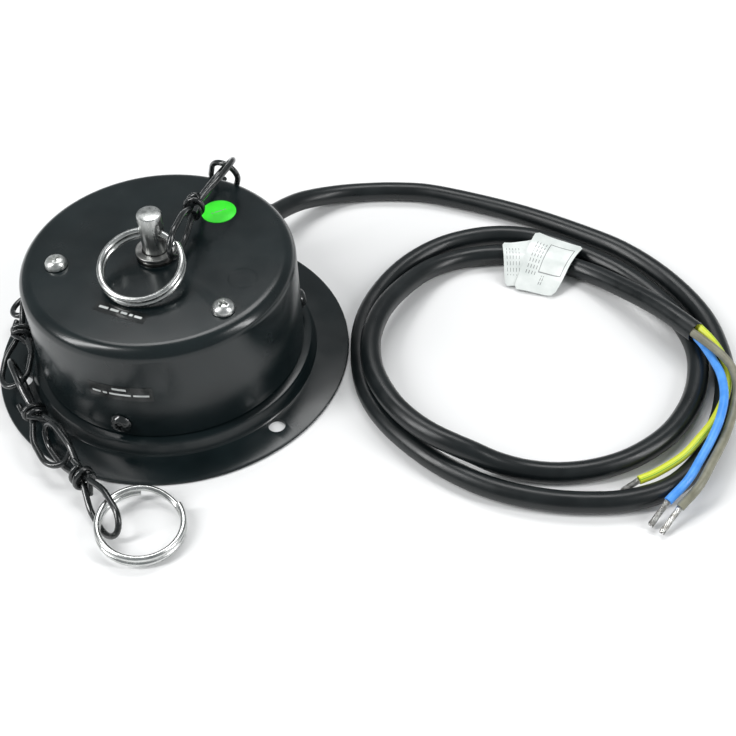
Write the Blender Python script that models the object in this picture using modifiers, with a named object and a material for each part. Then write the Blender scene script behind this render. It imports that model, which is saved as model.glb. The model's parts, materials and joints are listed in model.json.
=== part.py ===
"""Mirror-ball motor: a slow geared motor in a round steel housing, with a safety chain and a bare-ended lead.

Units: the constants are millimetres; MM turns them into Blender's metres.
Origin: centre of the base plate's flat back. +Z points along the output shaft.
"""
import math

import bmesh
import bpy
from mathutils import Matrix, Vector

MM = 0.001
GAP = 0.3  # clearance kept between two pieces that touch

# Housing
FLANGE_RADIUS = 60.0
SHEET = 1.2
BEAD_TOP = 6.0
BEAD_FOOT_RADIUS = 49.0
BEAD_EDGE_RADIUS = 47.2
BEAD_INNER_RADIUS = 40.5
CUP_RADIUS = 44.8
CUP_TOP = 44.0
CUP_EDGE_ROUND = 4.5
WALL_HOLE_RADIUS = 2.75
WALL_HOLE_CIRCLE = 52.0
WALL_HOLE_ANGLES = (-47.0, 73.0, 193.0)
SIDE_SCREW_ANGLES = (13.3, 133.3, 253.3)
SIDE_SCREW_HEIGHT = 12.0

# Output shaft, on the origin's axis
SHAFT_RADIUS = 4.0
SHAFT_TOP = 61.3
SHAFT_BOTTOM = 33.0
CROSS_HOLE_HEIGHT = 53.4
CROSS_HOLE_RADIUS = 2.8
BUSH_RADIUS = 6.0

# Gear motor, hung under the housing's top on two lugs
MOTOR_CENTRE = (-4.7, -15.0)
MOTOR_RADIUS = 24.5
LUG_REACH = 30.0
LUG_RADIUS = 5.0
LUG_ANGLE = -24.4
LID_TOP = CUP_TOP - SHEET - GAP
LID_BOTTOM = LID_TOP - 1.2
GEARBOX_FLOOR = 28.0
STATOR_BOTTOM = 11.5

# Gear train: teeth and module of each pair, from the shaft back to the rotor
OUTPUT_TEETH, OUTPUT_PINION_TEETH, OUTPUT_MODULE = 18, 8, 0.8
MIDDLE_TEETH, MIDDLE_PINION_TEETH, MIDDLE_MODULE = 32, 8, 0.6
FIRST_TEETH, ROTOR_TEETH, FIRST_MODULE = 40, 10, 0.5
OUTPUT_LEVEL = (33.2, 36.3)
MIDDLE_LEVEL = (30.6, 32.6)
FIRST_LEVEL = (28.4, 30.2)
AXLE_RADIUS = 0.8

# Split rings and chain
RING_RADIUS = 13.0
RING_WIRE = 1.0
COIL_STEP = 2.3
RING_LEAN = 15.6
UPPER_RING_SIDE = -103.5
LOWER_RING_CENTRE = (-5.2, -77.7, 3.9)
LOWER_RING_LIFT = 6.0
LOWER_RING_LIFT_SIDE = 152.0
LOWER_HINGE = (-16.3, -71.8, 5.0)
LINK_WIRE = 1.0
LINK_HALF_WIDTH = 4.9
LINK_WAIST = 1.35

# Lead
CORD_RADIUS = 3.5
CORE_RADIUS = 1.4
TIP_RADIUS = 1.0
CORD_EXIT_ANGLE = 60.0
CORD_EXIT_HEIGHT = 14.0
CORD_STEP = 17.0
TAG_PLACE = (133.0, 34.6)
TAG_ANGLE = 65.2
TAG_WIDTH = 17.0
TAG_THICKNESS = 0.5

# The lead's route, from inside the housing, twice round in loose turns on the floor
CORD_ROUTE = [
    (16.0, 27.7, 14.0), (22.5, 39.0, 14.0), (28.5, 49.4, 13.0), (35.0, 58.8, 11.0), (43.5, 68.3, 8.0),
    (54.5, 74.8, 5.0), (66.5, 77.5, 3.6), (82.0, 76.8, 3.6), (97.0, 73.3, 3.6), (126.0, 59.7, 3.6),
    (152.0, 42.8, 3.6), (164.5, 31.5, 3.6), (175.0, 16.5, 3.6), (182.0, 0.0, 3.6), (184.0, -16.0, 3.6),
    (183.0, -30.5, 3.6), (179.0, -44.0, 3.6), (173.0, -56.0, 3.6), (166.0, -66.0, 3.6), (155.5, -74.3, 3.6),
    (141.5, -78.0, 3.6), (128.0, -77.7, 3.6), (116.5, -75.6, 3.6), (104.5, -71.5, 3.6), (94.0, -65.4, 3.6),
    (83.0, -56.0, 3.6), (71.8, -42.0, 3.6), (65.6, -28.0, 3.6), (63.8, -12.0, 3.6), (65.5, 5.5, 3.6),
    (71.8, 20.5, 3.6), (82.0, 34.0, 3.6), (95.5, 43.6, 3.6), (110.5, 47.8, 3.6), (124.0, 47.0, 3.6),
    (136.0, 42.0, 3.6), (148.5, 33.0, 3.6), (160.0, 22.0, 3.6), (170.5, 6.0, 3.6), (175.2, -7.0, 3.6),
    (176.2, -18.0, 3.6), (174.0, -29.5, 3.6), (169.0, -41.0, 3.6), (160.0, -52.5, 3.6), (148.0, -60.8, 3.6),
    (136.0, -65.0, 3.6), (124.0, -66.0, 3.6), (113.0, -64.4, 4.0), (104.0, -62.4, 6.2), (97.0, -60.4, 9.2),
    (90.5, -57.5, 10.7), (84.5, -53.3, 11.0), (78.5, -47.2, 11.0), (73.0, -39.0, 11.0), (68.8, -28.5, 11.0),
    (67.2, -18.0, 11.0), (68.2, -6.5, 10.7), (72.8, 6.5, 9.6), (80.5, 19.0, 7.4), (89.8, 29.6, 5.0),
    (101.0, 35.6, 3.6), (113.5, 37.2, 3.6), (126.0, 35.2, 3.6), (137.0, 30.5, 3.7), (147.0, 23.5, 4.6),
    (156.0, 13.5, 6.6), (166.5, -1.0, 9.7), (175.5, -15.5, 11.2),
]
BLUE_ROUTE = [
    (175.95, -16.3, 9.35), (177.2, -19.5, 9.3), (178.6, -26.2, 9.8), (179.2, -35.5, 11.3), (177.8, -45.5, 12.2),
    (174.4, -54.5, 11.8), (170.5, -61.2, 10.2), (165.8, -68.0, 9.0), (160.6, -75.3, 8.6), (153.9, -80.8, 6.0),
]
BROWN_ROUTE = [
    (174.3, -16.7, 12.1), (176.8, -20.7, 12.5), (179.6, -25.6, 12.9), (182.0, -30.0, 12.6),
    (183.4, -34.8, 11.9), (183.2, -41.0, 10.2), (180.2, -49.5, 9.1), (175.4, -59.4, 8.9),
    (168.9, -69.7, 8.9), (163.4, -77.7, 8.2), (157.3, -82.6, 5.0),
]
YELLOW_ROUTE = [
    (177.1, -15.1, 12.1), (179.6, -19.2, 11.3), (181.9, -24.5, 9.9), (182.7, -30.0, 9.1), (181.4, -37.0, 9.0),
    (178.6, -44.0, 8.95), (173.6, -52.2, 8.8), (168.0, -58.6, 8.4), (161.4, -64.6, 6.9), (152.8, -69.3, 5.6),
    (147.0, -71.4, 5.0),
]
BLUE_TIP = (148.0, -86.3, 1.6)
BROWN_TIP = (150.8, -89.2, 1.6)
YELLOW_TIP = (141.9, -72.7, 1.6)

# Chain links: start, waist and end of each, then the way its first and its second loop are wide
CHAIN = [
    ((6.1, -9.0, 52.3), (12.4, 12.8, 52.3), (23.0, 38.6, 50.4), (-0.06, -0.26, 0.96), (0.7, 0.0, 0.72)),
    ((21.9, 36.2, 51.0), (17.3, 47.6, 30.0), (11.0, 57.2, 7.9), (-0.87, 0.5, 0.0), (0.3, 0.95, 0.0)),
    ((14.7, 56.8, 7.9), (-9.8, 53.6, 7.6), (-33.8, 46.4, 6.9), (0.0, -0.1, 1.0), (0.0, 1.0, -0.3)),
    ((-25.4, 49.9, 8.6), (-40.8, 32.2, 8.6), (-55.9, 13.4, 8.2), (0.0, 0.1, 1.0), (-0.8, 0.6, -0.2)),
    ((-48.5, 25.4, 11.0), (-51.6, 3.6, 9.0), (-51.8, -20.4, 7.6), (-0.3, 0.0, 0.95), (-1.0, 0.0, -0.25)),
    ((-52.6, -11.5, 9.2), (-42.6, -33.4, 8.4), (-31.0, -54.5, 7.2), (-0.2, -0.1, 0.97), (-0.88, -0.4, -0.25)),
    ((-38.0, -40.5, 8.6), (-24.2, -60.5, 7.1), (-12.0, -80.9, 4.7), (0.3, 0.2, 0.93), (0.48, 0.27, 0.83)),
]


def clear_scene():
    for old in list(bpy.data.objects):
        bpy.data.objects.remove(old, do_unlink=True)


def new_collection(name):
    made = bpy.data.collections.new(name)
    bpy.context.scene.collection.children.link(made)
    return made


def new_material(name, colour, roughness, metallic):
    made = bpy.data.materials.new(name)
    made.use_nodes = True
    shader = made.node_tree.nodes["Principled BSDF"]
    shader.inputs["Base Color"].default_value = (*colour, 1.0)
    shader.inputs["Roughness"].default_value = roughness
    shader.inputs["Metallic"].default_value = metallic
    made.diffuse_color = (*colour, 1.0)
    return made


clear_scene()
PARTS = new_collection("mirror_ball_motor")
CUTTERS = new_collection("cutters")

BLACK_ENAMEL = new_material("black_enamel", (0.012, 0.016, 0.017), 0.3, 0.0)
BRIGHT_STEEL = new_material("bright_steel", (0.62, 0.63, 0.62), 0.25, 1.0)
NICKEL = new_material("nickel", (0.8, 0.81, 0.8), 0.15, 1.0)
BLACK_WIRE = new_material("black_wire", (0.01, 0.011, 0.012), 0.2, 0.3)
BRASS = new_material("brass", (0.68, 0.5, 0.22), 0.35, 1.0)
COPPER = new_material("copper", (0.72, 0.36, 0.2), 0.4, 1.0)
FERRITE = new_material("ferrite", (0.06, 0.06, 0.065), 0.7, 0.0)
WHITE_NYLON = new_material("white_nylon", (0.8, 0.79, 0.74), 0.5, 0.0)
BLACK_RUBBER = new_material("black_rubber", (0.012, 0.013, 0.014), 0.55, 0.0)
CORD_BLACK = new_material("cord_black", (0.01, 0.013, 0.014), 0.45, 0.0)
CORE_BLUE = new_material("core_blue", (0.09, 0.38, 0.95), 0.4, 0.0)
CORE_BROWN = new_material("core_brown", (0.24, 0.25, 0.17), 0.5, 0.0)
CORE_YELLOW = new_material("core_yellow", (0.7, 0.82, 0.08), 0.4, 0.0)
TINNED = new_material("tinned", (0.6, 0.6, 0.58), 0.4, 1.0)
TAG_WHITE = new_material("tag_white", (0.78, 0.8, 0.77), 0.6, 0.0)
STICKER_GREEN = new_material("sticker_green", (0.06, 0.9, 0.04), 0.5, 0.0)


def finish(obj, material, collection=PARTS):
    obj.data.materials.append(material)
    collection.objects.link(obj)
    return obj


def as_cutter(obj):
    PARTS.objects.unlink(obj)
    CUTTERS.objects.link(obj)
    obj.hide_render = True
    obj.display_type = "WIRE"
    return obj


def cut(target, cutter):
    step = target.modifiers.new("cut_" + cutter.name, "BOOLEAN")
    step.operation = "DIFFERENCE"
    step.object = cutter


def polar(radius, degrees, z=0.0):
    turn = math.radians(degrees)
    return (radius * math.cos(turn), radius * math.sin(turn), z)


def smooth_sides(mesh):
    mesh.shade_smooth()
    mesh.set_sharp_from_angle(angle=math.radians(35))


def turned(name, profile, material, at=(0.0, 0.0), steps=48):
    """Solid of revolution about a vertical axis at `at`. The profile runs down its outer side."""
    closed = all(radius > 0 for radius, _ in profile)
    verts = [(radius * MM, 0.0, z * MM) for radius, z in profile]
    edges = [(k, k + 1) for k in range(len(verts) - 1)]
    if closed:
        edges.append((len(verts) - 1, 0))
    mesh = bpy.data.meshes.new(name)
    mesh.from_pydata(verts, edges, [])
    obj = bpy.data.objects.new(name, mesh)
    obj.location = (at[0] * MM, at[1] * MM, 0.0)
    screw = obj.modifiers.new("turn", "SCREW")
    screw.steps = steps
    screw.render_steps = steps
    screw.use_merge_vertices = True
    screw.merge_threshold = 0.00002
    screw.use_smooth_shade = True
    return finish(obj, material)


def aim(obj, start, direction):
    """Turn an object built up +Z so that it starts at `start` and points along `direction`."""
    turn = Vector(direction).to_track_quat("Z", "Y")
    obj.rotation_mode = "QUATERNION"
    obj.rotation_quaternion = turn
    obj.location = Vector(start) * MM
    return obj


def rod(name, radius, length, start, direction, material, steps=24):
    mesh = bpy.data.meshes.new(name)
    shape = bmesh.new()
    bmesh.ops.create_cone(shape, cap_ends=True, segments=steps, radius1=radius * MM, radius2=radius * MM,
                          depth=length * MM, matrix=Matrix.Translation((0.0, 0.0, length / 2 * MM)))
    shape.to_mesh(mesh)
    shape.free()
    smooth_sides(mesh)
    return aim(finish(bpy.data.objects.new(name, mesh), material), start, direction)


def circle(radius, centre=(0.0, 0.0), count=24, phase=0.0):
    turn = [phase + 2 * math.pi * k / count for k in range(count)]
    return [(centre[0] + radius * math.cos(a), centre[1] + radius * math.sin(a)) for a in turn]


def plate(name, outlines, low, high, material, at=(0.0, 0.0)):
    """Flat piece between two heights, outlined about `at`: first its edge, then its holes."""
    curve = bpy.data.curves.new(name, "CURVE")
    curve.dimensions = "2D"
    curve.fill_mode = "BOTH"
    curve.extrude = (high - low) / 2 * MM
    for outline in outlines:
        spline = curve.splines.new("POLY")
        spline.points.add(len(outline) - 1)
        for point, (x, y) in zip(spline.points, outline):
            point.co = (x * MM, y * MM, 0.0, 1.0)
        spline.use_cyclic_u = True
    obj = bpy.data.objects.new(name, curve)
    obj.location = (at[0] * MM, at[1] * MM, (low + high) / 2 * MM)
    return finish(obj, material)


def wire(name, points, radius, material, closed=False, origin=(0.0, 0.0, 0.0)):
    """Round wire through the points, with its object's origin at `origin`."""
    curve = bpy.data.curves.new(name, "CURVE")
    curve.dimensions = "3D"
    curve.bevel_depth = radius * MM
    curve.bevel_resolution = 2
    curve.use_fill_caps = not closed
    spline = curve.splines.new("POLY")
    spline.points.add(len(points) - 1)
    for point, place in zip(spline.points, points):
        point.co = (*((Vector(place) - Vector(origin)) * MM), 1.0)
    spline.use_cyclic_u = closed
    obj = bpy.data.objects.new(name, curve)
    obj.location = Vector(origin) * MM
    return finish(obj, material)


def block(name, low, high, material):
    low, high = Vector(low) * MM, Vector(high) * MM
    mesh = bpy.data.meshes.new(name)
    shape = bmesh.new()
    place = Matrix.Translation((low + high) / 2) @ Matrix.Diagonal((*(high - low), 1.0))
    bmesh.ops.create_cube(shape, size=1.0, matrix=place)
    shape.to_mesh(mesh)
    shape.free()
    return finish(bpy.data.objects.new(name, mesh), material)


def smooth(points, step):
    """Points about `step` apart on a smooth curve through the given ones."""
    way = [Vector(p) for p in points]
    way = [2 * way[0] - way[1], *way, 2 * way[-1] - way[-2]]
    fine = []
    parts = 12
    for before, start, end, after in zip(way, way[1:], way[2:], way[3:]):
        for k in range(parts):
            t = k / parts
            fine.append(0.5 * (2 * start + (end - before) * t
                               + (2 * before - 5 * start + 4 * end - after) * t ** 2
                               + (3 * start - before - 3 * end + after) * t ** 3))
    fine.append(way[-2])
    run = [0.0]
    for a, b in zip(fine, fine[1:]):
        run.append(run[-1] + (b - a).length)
    count = max(2, round(run[-1] / step))
    out, k = [], 0
    for n in range(count + 1):
        want = run[-1] * n / count
        while k < len(run) - 2 and run[k + 1] < want:
            k += 1
        share = (want - run[k]) / (run[k + 1] - run[k])
        out.append(fine[k].lerp(fine[k + 1], share))
    return out


# ---------------------------------------------------------------- housing
def sleeve(name, path, profile, material, steps=28):
    """Closed sleeve about a path. Its profile gives each ring's radius and distance along the path."""
    shape = bmesh.new()
    rings = []
    for radius, run in profile:
        k = 0
        while k < len(path) - 2 and run > (path[k + 1] - path[k]).length:
            run -= (path[k + 1] - path[k]).length
            k += 1
        way = (path[k + 1] - path[k]).normalized()
        side = way.cross(Vector((0.0, 0.0, 1.0))).normalized()
        upward = side.cross(way)
        centre = path[k] + way * run
        turns = [2 * math.pi * n / steps for n in range(steps)]
        ring = [centre + radius * (math.cos(turn) * side + math.sin(turn) * upward) for turn in turns]
        rings.append([shape.verts.new(point * MM) for point in ring])
    for ring, following in zip(rings, rings[1:] + rings[:1]):
        for n in range(steps):
            m = (n + 1) % steps
            shape.faces.new((ring[n], ring[m], following[m], following[n]))
    bmesh.ops.recalc_face_normals(shape, faces=shape.faces)
    mesh = bpy.data.meshes.new(name)
    shape.to_mesh(mesh)
    shape.free()
    return finish(bpy.data.objects.new(name, mesh), material)


def make_base_plate():
    steps = 5
    rise = []
    for k in range(steps + 1):
        share = k / steps
        radius = BEAD_FOOT_RADIUS + (BEAD_EDGE_RADIUS - BEAD_FOOT_RADIUS) * share
        rise.append((radius, SHEET + (BEAD_TOP - SHEET) * math.sin(share * math.pi / 2)))
    fall = [(BEAD_INNER_RADIUS, BEAD_TOP), (BEAD_INNER_RADIUS - 2, SHEET)]
    under = [(radius - SHEET, z - SHEET) for radius, z in rise[1:]]
    profile = [(0.0, SHEET), *reversed(fall), *reversed(rise), (FLANGE_RADIUS, SHEET), (FLANGE_RADIUS, 0.0),
               (BEAD_FOOT_RADIUS - SHEET, 0.0), *under,
               (BEAD_INNER_RADIUS + SHEET, BEAD_TOP - SHEET), (BEAD_INNER_RADIUS - 2 + SHEET, 0.0), (0.0, 0.0)]
    plate_obj = turned("base_plate", profile, BLACK_ENAMEL, steps=64)
    for n, angle in enumerate(WALL_HOLE_ANGLES, 1):
        x, y, _ = polar(WALL_HOLE_CIRCLE, angle)
        hole = as_cutter(rod(f"wall_hole_{n}", WALL_HOLE_RADIUS, 6, (x, y, -2), (0, 0, 1), BLACK_ENAMEL, 20))
        cut(plate_obj, hole)


def make_cup():
    wall = SHEET
    inner = CUP_RADIUS - wall
    steps = 5
    corner = [(CUP_RADIUS - CUP_EDGE_ROUND * (1 - math.sin(a)), CUP_TOP - CUP_EDGE_ROUND * (1 - math.cos(a)))
              for a in [math.pi / 2 * k / steps for k in range(steps + 1)]]
    inner_round = CUP_EDGE_ROUND - wall
    inner_corner = [(inner - inner_round * (1 - math.sin(a)), CUP_TOP - wall - inner_round * (1 - math.cos(a)))
                    for a in [math.pi / 2 * k / 3 for k in range(3, -1, -1)]]
    low = BEAD_TOP + GAP
    profile = [(0.0, CUP_TOP), *corner, (CUP_RADIUS, low), (inner, low), *inner_corner, (0.0, CUP_TOP - wall)]
    cup = turned("housing_cup", profile, BLACK_ENAMEL, steps=64)
    cut(cup, as_cutter(rod("bush_hole", BUSH_RADIUS + GAP, 6, (0, 0, CUP_TOP - 3), (0, 0, 1), BLACK_ENAMEL)))
    for n, (x, y) in enumerate(lug_points(), 1):
        cut(cup, as_cutter(rod(f"lug_hole_{n}", 2.2, 6, (x, y, CUP_TOP - 3), (0, 0, 1), BLACK_ENAMEL, 16)))
    for n, angle in enumerate(SIDE_SCREW_ANGLES, 1):
        start = polar(CUP_RADIUS - 5, angle, SIDE_SCREW_HEIGHT)
        cut(cup, as_cutter(rod(f"side_hole_{n}", 1.7, 10, start, polar(1, angle), BLACK_ENAMEL, 16)))
    start = polar(CUP_RADIUS - 5, CORD_EXIT_ANGLE, CORD_EXIT_HEIGHT)
    cut(cup, as_cutter(rod("cord_hole", 6.0, 10, start, polar(1, CORD_EXIT_ANGLE), BLACK_ENAMEL)))


def lug_points():
    reach = polar(LUG_REACH, LUG_ANGLE)
    x, y = MOTOR_CENTRE
    return [(x - reach[0], y - reach[1]), (x + reach[0], y + reach[1])]


def make_fixings():
    for n, angle in enumerate(SIDE_SCREW_ANGLES, 1):
        tab = block(f"fixing_tab_{n}", (41.7, -5, BEAD_TOP + GAP), (42.9, 5, 18), BRIGHT_STEEL)
        tab.rotation_euler.z = math.radians(angle)
        start = polar(38, angle, SIDE_SCREW_HEIGHT)
        cut(tab, as_cutter(rod(f"tab_hole_{n}", 1.7, 8, start, polar(1, angle), BRIGHT_STEEL, 16)))
        head = [(0.0, 7.6), (2.2, 7.4), (3.2, 6.7), (3.5, 5.6), (1.4, 5.6), (1.4, 2.0), (0.0, 2.0)]
        screw = turned(f"side_screw_{n}", head, BLACK_WIRE, steps=20)
        aim(screw, polar(CUP_RADIUS + GAP - 5.6, angle, SIDE_SCREW_HEIGHT), polar(1, angle))
    for n, (x, y) in enumerate(lug_points(), 1):
        low = CUP_TOP + GAP
        head = [(0.0, low + 2.7), (2.4, low + 2.4), (3.3, low + 1.6), (3.7, low), (1.9, low), (1.9, 36.5),
                (0.0, 36.5)]
        turned(f"motor_screw_{n}", head, BRIGHT_STEEL, at=(x, y), steps=24)
        hexagon = circle(4.04, (x, y), 6)
        plate(f"motor_nut_{n}", [hexagon, circle(2.2, (x, y), 16)], LID_BOTTOM - GAP - 3.2, LID_BOTTOM - GAP,
              BRIGHT_STEEL)


# ---------------------------------------------------------------- shaft
def make_shaft():
    groove = (36.6, 37.8)
    profile = [(0.0, SHAFT_TOP), (SHAFT_RADIUS - 0.5, SHAFT_TOP), (SHAFT_RADIUS, SHAFT_TOP - 0.5),
               (SHAFT_RADIUS, groove[1]), (3.3, groove[1]), (3.3, groove[0]), (SHAFT_RADIUS, groove[0]),
               (SHAFT_RADIUS, SHAFT_BOTTOM), (0.0, SHAFT_BOTTOM)]
    shaft = turned("output_shaft", profile, BRIGHT_STEEL, steps=32)
    along = polar(1, UPPER_RING_SIDE + 90)
    start = (-8 * along[0], -8 * along[1], CROSS_HOLE_HEIGHT)
    cut(shaft, as_cutter(rod("cross_hole", CROSS_HOLE_RADIUS, 16, start, along, BRIGHT_STEEL, 20)))
    bore = SHAFT_RADIUS + GAP
    bush = [(BUSH_RADIUS, 45.2), (BUSH_RADIUS, 38.1), (bore, 38.1), (bore, 45.2)]
    turned("bearing_bush", bush, BRASS, steps=32)
    inner = SHAFT_RADIUS + GAP
    turned("shaft_washer", [(6.3, 46.8), (6.5, 46.6), (6.5, 45.5), (inner, 45.5), (inner, 46.8)], BRIGHT_STEEL)
    clip_arc = [math.radians(30 + 300 * k / 20) for k in range(21)]
    clip = [(6.2 * math.cos(a), 6.2 * math.sin(a)) for a in clip_arc]
    clip += [(3.6 * math.cos(a), 3.6 * math.sin(a)) for a in reversed(clip_arc)]
    plate("retaining_clip", [clip], 36.9, 37.5, BRIGHT_STEEL)


# ---------------------------------------------------------------- gear motor
def gear(teeth, module, face, gap_first, bore):
    """Outline and bore of a spur gear with a tooth, or a gap, pointing along `face` degrees."""
    pitch = teeth * module / 2
    tip, root = pitch + 0.7 * module, pitch - 0.95 * module
    pitch_angle = 2 * math.pi / teeth
    root_half, tip_half = 0.30 * pitch_angle, 0.10 * pitch_angle
    start = math.radians(face) + (pitch_angle / 2 if gap_first else 0.0)
    outline = []
    for tooth in range(teeth):
        middle = start + tooth * pitch_angle
        for radius, offset in ((root, -root_half), (tip, -tip_half), (tip, tip_half), (root, root_half)):
            outline.append((radius * math.cos(middle + offset), radius * math.sin(middle + offset)))
    return [outline, circle(bore, count=20)]


def bearing_angle(start, end):
    return math.degrees(math.atan2(end[1] - start[1], end[0] - start[0]))


def axle_place(known_a, reach_a, known_b, reach_b, side):
    """The point at a set distance from two others, on the chosen side of the line that joins them."""
    a, b = Vector(known_a), Vector(known_b)
    span = (b - a).length
    along = (reach_a ** 2 - reach_b ** 2 + span ** 2) / (2 * span)
    across = math.sqrt(reach_a ** 2 - along ** 2) * side
    ahead = (b - a) / span
    found = a + ahead * along + Vector((-ahead.y, ahead.x)) * across
    return (found.x, found.y)


OUTPUT_REACH = (OUTPUT_TEETH + OUTPUT_PINION_TEETH) * OUTPUT_MODULE / 2
MIDDLE_REACH = (MIDDLE_TEETH + MIDDLE_PINION_TEETH) * MIDDLE_MODULE / 2
FIRST_REACH = (FIRST_TEETH + ROTOR_TEETH) * FIRST_MODULE / 2
SHAFT_PLACE = (0.0, 0.0)
MIDDLE_AXLE = axle_place(MOTOR_CENTRE, 12.0, SHAFT_PLACE, OUTPUT_REACH, 1)
FIRST_AXLE = axle_place(MOTOR_CENTRE, FIRST_REACH, MIDDLE_AXLE, MIDDLE_REACH, 1)


def make_gears():
    bore = AXLE_RADIUS + GAP
    to_middle = bearing_angle(SHAFT_PLACE, MIDDLE_AXLE)
    to_first = bearing_angle(MIDDLE_AXLE, FIRST_AXLE)
    to_rotor = bearing_angle(FIRST_AXLE, MOTOR_CENTRE)
    pairs = [
        ("output_gear", OUTPUT_TEETH, OUTPUT_MODULE, SHAFT_PLACE, to_middle, False, SHAFT_RADIUS + GAP,
         OUTPUT_LEVEL),
        ("middle_pinion", OUTPUT_PINION_TEETH, OUTPUT_MODULE, MIDDLE_AXLE, to_middle + 180, True, bore,
         OUTPUT_LEVEL),
        ("middle_wheel", MIDDLE_TEETH, MIDDLE_MODULE, MIDDLE_AXLE, to_first, False, bore, MIDDLE_LEVEL),
        ("first_pinion", MIDDLE_PINION_TEETH, MIDDLE_MODULE, FIRST_AXLE, to_first + 180, True, bore,
         MIDDLE_LEVEL),
        ("first_wheel", FIRST_TEETH, FIRST_MODULE, FIRST_AXLE, to_rotor, False, bore, FIRST_LEVEL),
        ("rotor_pinion", ROTOR_TEETH, FIRST_MODULE, MOTOR_CENTRE, to_rotor + 180, True, 1.3, FIRST_LEVEL),
    ]
    for name, teeth, module, centre, face, gap_first, hole, (low, high) in pairs:
        outlines = gear(teeth, module, face, gap_first, hole)
        plate(name, outlines, low, high, BRASS if "pinion" in name else WHITE_NYLON, at=centre)
    for name, (x, y) in (("middle_axle", MIDDLE_AXLE), ("first_axle", FIRST_AXLE)):
        low = GEARBOX_FLOOR + GAP
        rod(name, AXLE_RADIUS, LID_BOTTOM - GAP - low, (x, y, low), (0, 0, 1), BRIGHT_STEEL, 16)


def lugged_outline():
    """Round lid with two lugs, as radius against angle about the motor's centre."""
    outline = []
    fine = [k * 1.5 for k in range(-10, 11)]
    wide = [k * 7.5 for k in range(3, 22)]
    for half in (0, 180):
        for offset in fine + wide:
            turn = math.radians(offset)
            reach = MOTOR_RADIUS
            side = LUG_REACH * math.sin(turn)
            if abs(side) < LUG_RADIUS:
                reach = LUG_REACH * math.cos(turn) + math.sqrt(LUG_RADIUS ** 2 - side ** 2)
            elif abs(offset) < 15:
                reach = max(MOTOR_RADIUS, LUG_RADIUS / abs(math.sin(turn)))
            x, y, _ = polar(reach, LUG_ANGLE + half + offset)
            outline.append((MOTOR_CENTRE[0] + x, MOTOR_CENTRE[1] + y))
    return outline


def make_motor():
    at = MOTOR_CENTRE
    radius = MOTOR_RADIUS
    lug_holes = [circle(2.2, point, 16) for point in lug_points()]
    lid = [lugged_outline(), circle(BUSH_RADIUS + GAP), *lug_holes]
    plate("gearbox_lid", lid, LID_BOTTOM, LID_TOP, BRIGHT_STEEL)
    top, low = LID_BOTTOM - GAP, GEARBOX_FLOOR + GAP
    shell = [(radius, top), (radius, low), (radius - 0.5, low), (radius - 0.5, top)]
    turned("gearbox_shell", shell, BRIGHT_STEEL, at)
    floor_plate = [circle(radius, count=48), circle(1.3, count=16)]
    plate("gearbox_plate", floor_plate, GEARBOX_FLOOR - 1.2, GEARBOX_FLOOR, BRIGHT_STEEL, at=at)
    can_top, floor = GEARBOX_FLOOR - 1.2 - GAP, STATOR_BOTTOM + 0.8
    can = [(0.0, floor), (radius - 0.8, floor), (radius - 0.8, can_top), (radius, can_top),
           (radius, STATOR_BOTTOM), (0.0, STATOR_BOTTOM)]
    turned("stator_can", can, BRIGHT_STEEL, at)
    bobbin = [(23.3, 24.0), (23.3, 23.0), (14.5, 23.0), (14.5, 13.9), (23.3, 13.9), (23.3, 12.7), (13.2, 12.7),
              (13.2, 24.0)]
    turned("coil_bobbin", bobbin, WHITE_NYLON, at)
    turned("coil_winding", [(22.6, 22.7), (22.6, 14.2), (14.8, 14.2), (14.8, 22.7)], COPPER, at)
    turned("pole_plate", [(23.3, 25.4), (23.3, 24.4), (5.0, 24.4), (5.0, 25.4)], BRIGHT_STEEL, at)
    turned("rotor_magnet", [(12.6, 23.4), (12.6, 14.2), (1.3, 14.2), (1.3, 23.4)], FERRITE, at, 32)
    rod("rotor_axle", 1.0, 18.4, (*at, 12.7), (0, 0, 1), BRIGHT_STEEL, 16)


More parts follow.
